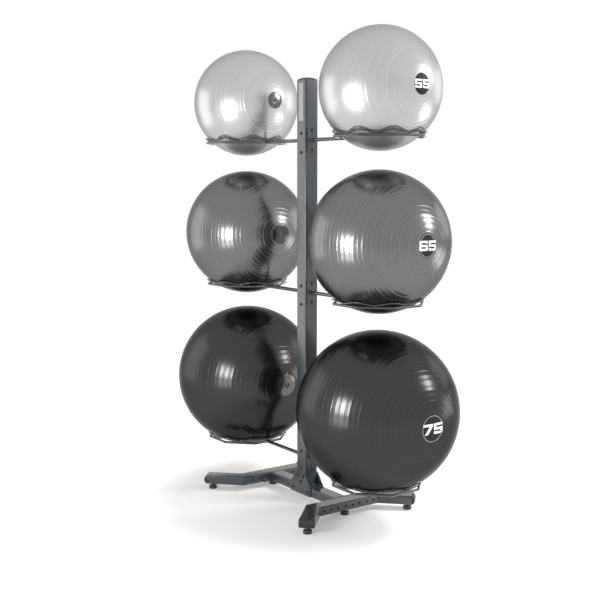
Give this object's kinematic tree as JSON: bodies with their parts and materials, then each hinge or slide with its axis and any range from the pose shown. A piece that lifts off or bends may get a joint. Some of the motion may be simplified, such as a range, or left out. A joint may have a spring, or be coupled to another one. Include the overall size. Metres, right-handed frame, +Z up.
{
  "type": "exercise ball rack",
  "caption": "Free-standing steel rack: a square post on a splayed H-shaped foot frame carries octagonal wire cradles on both sides, each holding an inflated gym ball.",
  "frame": {"origin": "on the floor, under the post's axis", "axes": "+X along the cradle arms to the right-hand balls, +Y to the back, +Z up"},
  "size_m": [1.857, 0.75, 2.2856],
  "materials": {
    "frame_paint": "slate grey satin powder coat",
    "cap_plastic": "fine matte moulded",
    "foot_rubber": "matte",
    "bolt_steel": "dark zinc, satin",
    "silver_vinyl": "glossy vinyl",
    "grey_vinyl": "glossy vinyl",
    "charcoal_vinyl": "glossy vinyl",
    "plug_plastic": "satin moulded"
  },
  "bodies": {
    "rack": {"post": "frame_paint", "post_cap": "cap_plastic", "central_beam": "frame_paint", "leg_right": "frame_paint", "leg_left": "frame_paint", "gusset_front": "frame_paint", "gusset_back": "frame_paint", "leg_cap_right_front": "cap_plastic", "leg_cap_right_back": "cap_plastic", "leg_cap_left_front": "cap_plastic", "leg_cap_left_back": "cap_plastic", "cradle_top_right": "frame_paint", "cradle_wire_top_right": "frame_paint", "cradle_top_left": "frame_paint", "cradle_wire_top_left": "frame_paint", "cradle_mid_right": "frame_paint", "cradle_wire_mid_right": "frame_paint", "cradle_mid_left": "frame_paint", "cradle_wire_mid_left": "frame_paint", "cradle_bottom_right": "frame_paint", "cradle_wire_bottom_right": "frame_paint", "cradle_bottom_left": "frame_paint", "cradle_wire_bottom_left": "frame_paint", "cradle_bolt_top_upper": "bolt_steel", "cross_bolt_top_upper": "bolt_steel", "cradle_bolt_top_lower": "bolt_steel", "cross_bolt_top_lower": "bolt_steel", "cradle_bolt_mid_upper": "bolt_steel", "cross_bolt_mid_upper": "bolt_steel", "cradle_bolt_mid_lower": "bolt_steel", "cross_bolt_mid_lower": "bolt_steel", "cradle_bolt_bottom_upper": "bolt_steel", "cross_bolt_bottom_upper": "bolt_steel", "cradle_bolt_bottom_lower": "bolt_steel", "cross_bolt_bottom_lower": "bolt_steel", "gusset_bolt_post_right": "bolt_steel", "gusset_bolt_post_left": "bolt_steel", "gusset_bolt_post_middle": "bolt_steel", "gusset_bolt_beam_right": "bolt_steel", "gusset_bolt_beam_left": "bolt_steel"},
    "foot_right_front": {"foot_right_front": "foot_rubber"},
    "foot_right_middle": {"foot_right_middle": "foot_rubber"},
    "foot_right_back": {"foot_right_back": "foot_rubber"},
    "foot_left_front": {"foot_left_front": "foot_rubber"},
    "foot_left_middle": {"foot_left_middle": "foot_rubber"},
    "foot_left_back": {"foot_left_back": "foot_rubber"},
    "ball_top_right": {"ball_top_right": "silver_vinyl"},
    "plug_top_right": {"plug_top_right": "plug_plastic"},
    "ball_top_left": {"ball_top_left": "silver_vinyl"},
    "plug_top_left": {"plug_top_left": "plug_plastic"},
    "ball_mid_right": {"ball_mid_right": "grey_vinyl"},
    "plug_mid_right": {"plug_mid_right": "plug_plastic"},
    "ball_mid_left": {"ball_mid_left": "grey_vinyl"},
    "plug_mid_left": {"plug_mid_left": "plug_plastic"},
    "ball_bottom_right": {"ball_bottom_right": "charcoal_vinyl"},
    "plug_bottom_right": {"plug_bottom_right": "plug_plastic"},
    "ball_bottom_left": {"ball_bottom_left": "charcoal_vinyl"},
    "plug_bottom_left": {"plug_bottom_left": "plug_plastic"}
  },
  "joints": [
    {"name": "foot_right_front_screw", "type": "slide", "parent": "rack", "child": "foot_right_front", "axis": [0, 0, 1], "range_m": [-0.012, 0.007]},
    {"name": "foot_right_middle_screw", "type": "slide", "parent": "rack", "child": "foot_right_middle", "axis": [0, 0, 1], "range_m": [-0.012, 0.007]},
    {"name": "foot_right_back_screw", "type": "slide", "parent": "rack", "child": "foot_right_back", "axis": [0, 0, 1], "range_m": [-0.012, 0.007]},
    {"name": "foot_left_front_screw", "type": "slide", "parent": "rack", "child": "foot_left_front", "axis": [0, 0, 1], "range_m": [-0.012, 0.007]},
    {"name": "foot_left_middle_screw", "type": "slide", "parent": "rack", "child": "foot_left_middle", "axis": [0, 0, 1], "range_m": [-0.012, 0.007]},
    {"name": "foot_left_back_screw", "type": "slide", "parent": "rack", "child": "foot_left_back", "axis": [0, 0, 1], "range_m": [-0.012, 0.007]},
    {"name": "ball_top_right_lift", "type": "slide", "parent": "rack", "child": "ball_top_right", "axis": [0.6428, 0, 0.766], "range_m": [0, 0.2]},
    {"name": "plug_top_right_pull", "type": "slide", "parent": "ball_top_right", "child": "plug_top_right", "axis": [-1, 0, 0], "range_m": [0, 0.025]},
    {"name": "ball_top_left_lift", "type": "slide", "parent": "rack", "child": "ball_top_left", "axis": [-0.6428, 0, 0.766], "range_m": [0, 0.2]},
    {"name": "plug_top_left_pull", "type": "slide", "parent": "ball_top_left", "child": "plug_top_left", "axis": [1, 0, 0], "range_m": [0, 0.025]},
    {"name": "ball_mid_right_lift", "type": "slide", "parent": "rack", "child": "ball_mid_right", "axis": [0.7547, 0, 0.6561], "range_m": [0, 0.13]},
    {"name": "plug_mid_right_pull", "type": "slide", "parent": "ball_mid_right", "child": "plug_mid_right", "axis": [-1, 0, 0], "range_m": [0, 0.025]},
    {"name": "ball_mid_left_lift", "type": "slide", "parent": "rack", "child": "ball_mid_left", "axis": [-0.7547, 0, 0.6561], "range_m": [0, 0.13]},
    {"name": "plug_mid_left_pull", "type": "slide", "parent": "ball_mid_left", "child": "plug_mid_left", "axis": [1, 0, 0], "range_m": [0, 0.025]},
    {"name": "ball_bottom_right_lift", "type": "slide", "parent": "rack", "child": "ball_bottom_right", "axis": [0.8192, 0, 0.5736], "range_m": [0, 0.15]},
    {"name": "plug_bottom_right_pull", "type": "slide", "parent": "ball_bottom_right", "child": "plug_bottom_right", "axis": [-1, 0, 0], "range_m": [0, 0.025]},
    {"name": "ball_bottom_left_lift", "type": "slide", "parent": "rack", "child": "ball_bottom_left", "axis": [-0.8192, 0, 0.5736], "range_m": [0, 0.15]},
    {"name": "plug_bottom_left_pull", "type": "slide", "parent": "ball_bottom_left", "child": "plug_bottom_left", "axis": [1, 0, 0], "range_m": [0, 0.025]}
  ]
}
